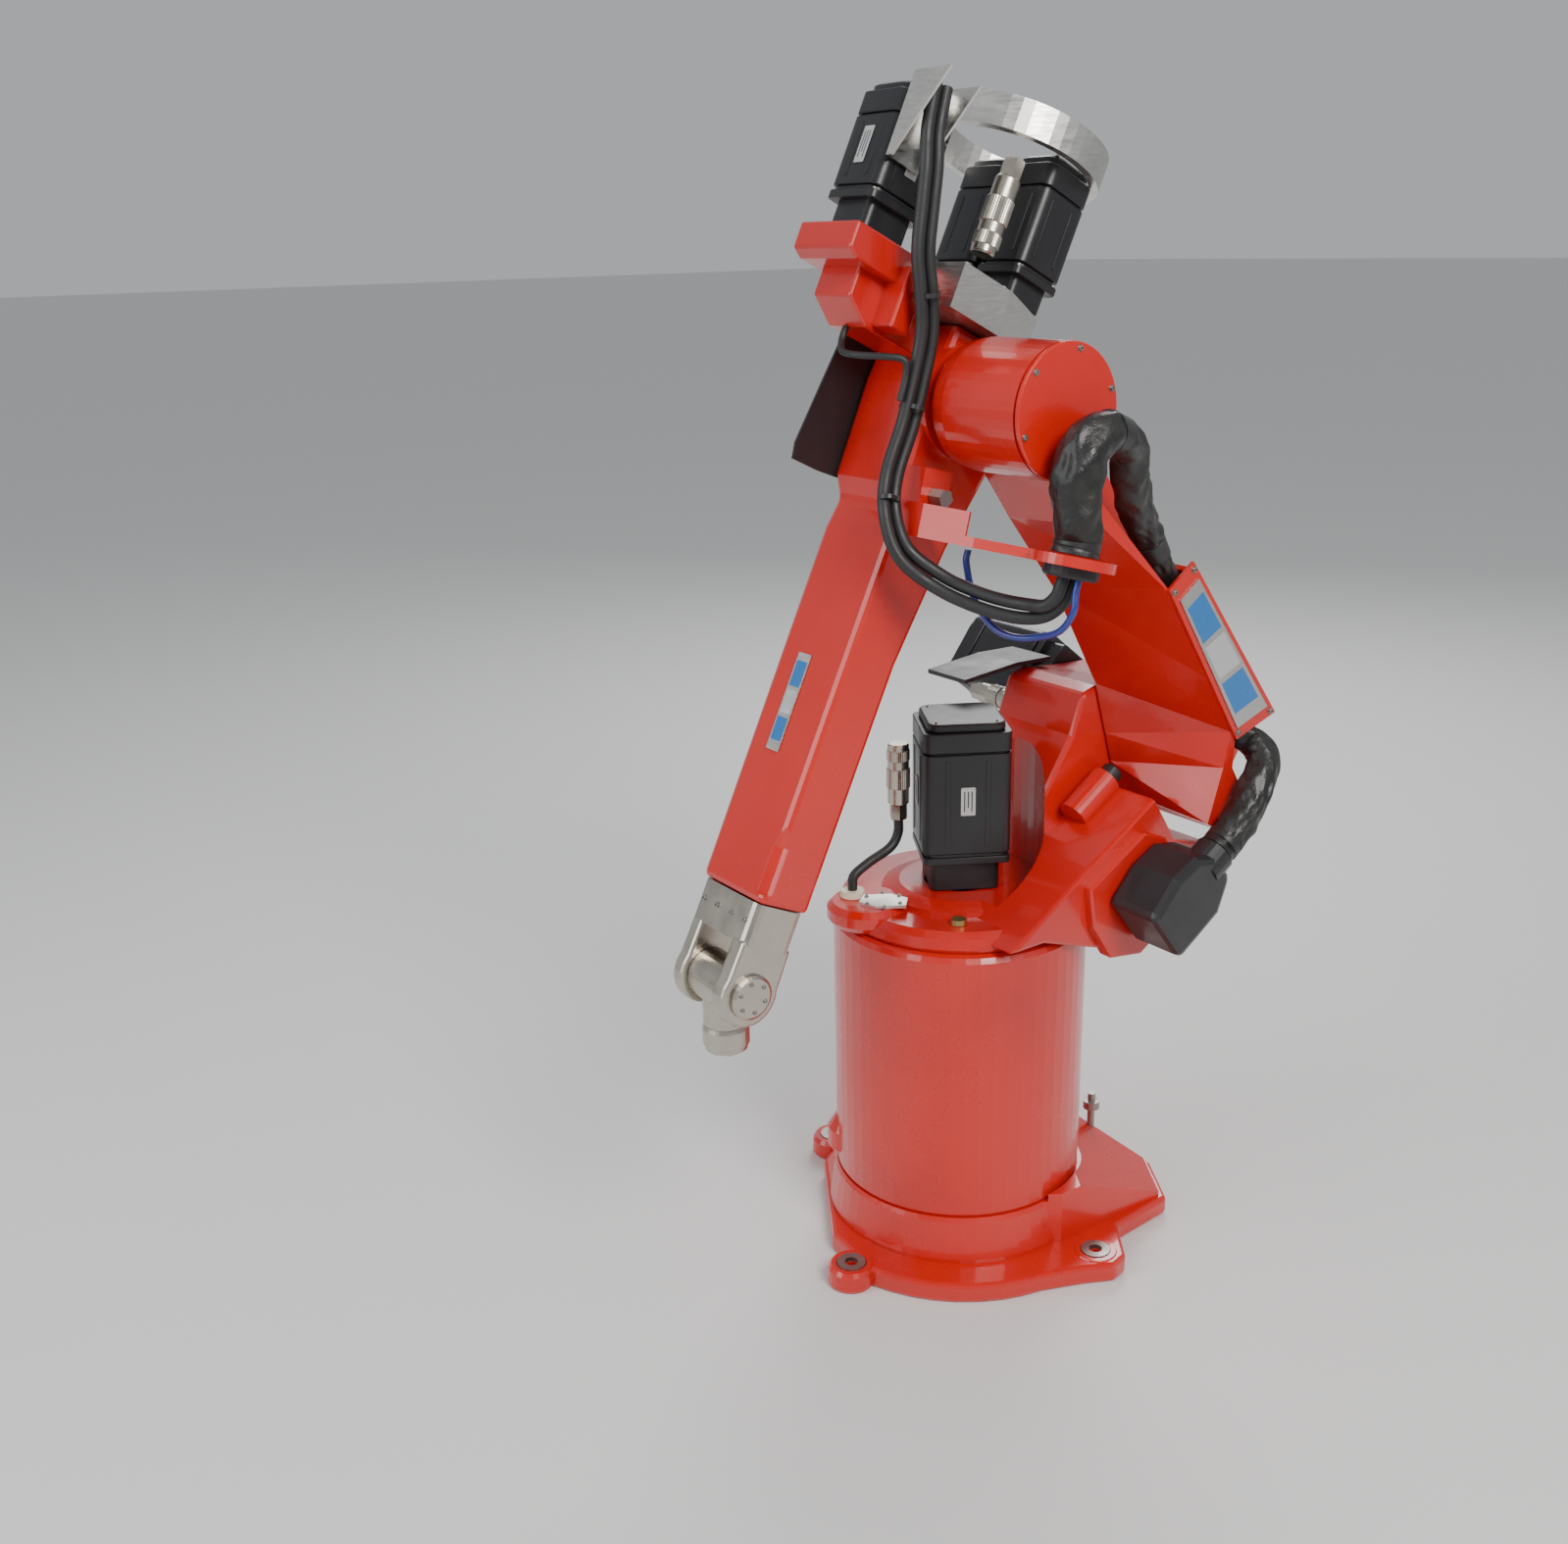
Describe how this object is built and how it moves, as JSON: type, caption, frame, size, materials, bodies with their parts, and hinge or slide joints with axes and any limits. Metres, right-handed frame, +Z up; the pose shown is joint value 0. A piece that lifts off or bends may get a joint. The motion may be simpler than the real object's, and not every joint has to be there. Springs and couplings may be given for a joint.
{
  "type": "articulated robot arm",
  "caption": "Jointed industrial robot arm on a round turning column, with a swinging lower arm, a tube forearm with rear motors and a forked wrist.",
  "frame": {"origin": "where the column axis meets the plane of the feet", "axes": "+Z up along the column axis, +X the way the arm points, +Y the side of the elbow cap"},
  "size_m": [0.8174, 0.612, 1.5759],
  "materials": {
    "base_casting": "gloss",
    "column_shell": "gloss",
    "shoulder_casting": "gloss",
    "lower_arm": "gloss",
    "elbow_cap": "gloss",
    "channel_cover": "gloss",
    "forearm_casting": "gloss",
    "cable_bracket": "gloss",
    "motor_bracket": "gloss",
    "foot_washer_front_left": "satin",
    "foot_washer_front_right": "satin",
    "foot_washer_rear_left": "satin",
    "foot_washer_rear_right": "satin",
    "rear_stud": "satin",
    "a1_reducer": "satin",
    "a1_bearing_outer_ring": "satin",
    "a1_bearing_inner_ring": "satin",
    "a1_output_flange": "satin",
    "a1_motor_shaft": "satin",
    "a2_reducer": "satin",
    "a3_drive": "satin",
    "a2_output_shaft": "satin",
    "a3_output_flange": "satin",
    "a4_drive_tube": "satin",
    "a5_drive_tube": "satin",
    "a6_drive_shaft": "satin",
    "stop_bolt": "satin",
    "a1_motor": "satin",
    "a2_motor": "satin",
    "a4_motor": "satin",
    "a5_motor": "satin",
    "a6_motor": "satin",
    "side_plate": "satin",
    "a2_cable_tray": "satin",
    "inspection_plate": "satin",
    "lower_arm_badge": "satin",
    "forearm_badge": "satin",
    "gear_plate": "satin",
    "rear_ring": "satin",
    "cable_hood": "satin",
    "a1_connector": "satin",
    "a2_connector": "satin",
    "a5_connector": "satin",
    "wrist_fork": "satin",
    "wrist_cover": "satin",
    "hand": "satin",
    "tool_flange": "satin",
    "cable_gland": "matte",
    "stop_bumper": "matte",
    "a1_motor_cable": "matte",
    "motor_lead_front": "matte",
    "motor_lead_rear": "matte",
    "a4_lead": "matte",
    "lower_boot": "satin",
    "upper_boot": "satin",
    "cable_cover": "satin",
    "cable_bush": "matte",
    "oil_plug": "satin",
    "air_hose": "satin"
  },
  "bodies": {
    "base": {"base_casting": "base_casting", "foot_washer_front_left": "foot_washer_front_left", "foot_washer_front_right": "foot_washer_front_right", "foot_washer_rear_left": "foot_washer_rear_left", "foot_washer_rear_right": "foot_washer_rear_right", "rear_stud": "rear_stud", "a1_reducer": "a1_reducer", "a1_bearing_outer_ring": "a1_bearing_outer_ring"},
    "column": {"column_shell": "column_shell", "a1_bearing_inner_ring": "a1_bearing_inner_ring", "a1_output_flange": "a1_output_flange", "shoulder_casting": "shoulder_casting", "cable_bush": "cable_bush", "inspection_plate": "inspection_plate", "oil_plug": "oil_plug", "a1_motor": "a1_motor", "a1_motor_shaft": "a1_motor_shaft", "a1_connector": "a1_connector", "a1_motor_cable": "a1_motor_cable", "a2_reducer": "a2_reducer", "a2_motor": "a2_motor", "a2_connector": "a2_connector", "a2_cable_tray": "a2_cable_tray", "cable_cover": "cable_cover", "stop_bumper": "stop_bumper"},
    "lower_arm": {"lower_arm": "lower_arm", "elbow_cap": "elbow_cap", "a3_drive": "a3_drive", "a2_output_shaft": "a2_output_shaft", "channel_cover": "channel_cover", "lower_arm_badge": "lower_arm_badge", "lower_boot": "lower_boot", "upper_boot": "upper_boot"},
    "forearm": {"forearm_casting": "forearm_casting", "a3_output_flange": "a3_output_flange", "forearm_badge": "forearm_badge", "side_plate": "side_plate", "cable_bracket": "cable_bracket", "cable_gland": "cable_gland", "stop_bolt": "stop_bolt", "gear_plate": "gear_plate", "motor_bracket": "motor_bracket", "a4_motor": "a4_motor", "a5_motor": "a5_motor", "a6_motor": "a6_motor", "rear_ring": "rear_ring", "a5_connector": "a5_connector", "cable_hood": "cable_hood", "motor_lead_front": "motor_lead_front", "motor_lead_rear": "motor_lead_rear", "air_hose": "air_hose", "a4_lead": "a4_lead"},
    "wrist": {"wrist_fork": "wrist_fork", "wrist_cover": "wrist_cover", "a4_drive_tube": "a4_drive_tube"},
    "bend_drive": {"a5_drive_tube": "a5_drive_tube"},
    "roll_drive": {"a6_drive_shaft": "a6_drive_shaft"},
    "hand": {"hand": "hand"},
    "flange": {"tool_flange": "tool_flange"}
  },
  "joints": [
    {"name": "base_turn", "type": "hinge", "parent": "base", "child": "column", "pos_m": [0, 0, 0], "axis": [0, 0, 1], "range_deg": [-160, 160]},
    {"name": "shoulder_swing", "type": "hinge", "parent": "column", "child": "lower_arm", "pos_m": [-0.27, 0, 0.7], "axis": [0, 1, 0], "range_deg": [-64, 13], "deforming": ["lower_boot"]},
    {"name": "elbow_swing", "type": "hinge", "parent": "lower_arm", "child": "forearm", "pos_m": [0.06073, 0, 1.20541], "axis": [0, -1, 0], "range_deg": [-8, 65], "deforming": ["upper_boot"]},
    {"name": "wrist_turn", "type": "hinge", "parent": "forearm", "child": "wrist", "pos_m": [0.40231, 0, 0.50195], "axis": [-0.4368, 0, 0.8996], "range_deg": [-175, 175]},
    {"name": "wrist_bend", "type": "hinge", "parent": "wrist", "child": "hand", "pos_m": [0.40231, 0, 0.50195], "axis": [0, 1, 0], "range_deg": [-135, 85]},
    {"name": "flange_roll", "type": "hinge", "parent": "hand", "child": "flange", "pos_m": [0.40231, 0, 0.50195], "axis": [0, 0, 1], "range_deg": [-350, 350]},
    {"name": "bend_drive_spin", "type": "hinge", "parent": "forearm", "child": "bend_drive", "pos_m": [0.40231, 0, 0.50195], "axis": [-0.4368, 0, 0.8996], "range_deg": [-135, 85]},
    {"name": "roll_drive_spin", "type": "hinge", "parent": "forearm", "child": "roll_drive", "pos_m": [0.40231, 0, 0.50195], "axis": [-0.4368, 0, 0.8996], "range_deg": [-350, 350]}
  ],
  "couplings": [
    {"joint": "bend_drive_spin", "follows": "wrist_bend", "ratio": 1},
    {"joint": "roll_drive_spin", "follows": "flange_roll", "ratio": 1}
  ]
}
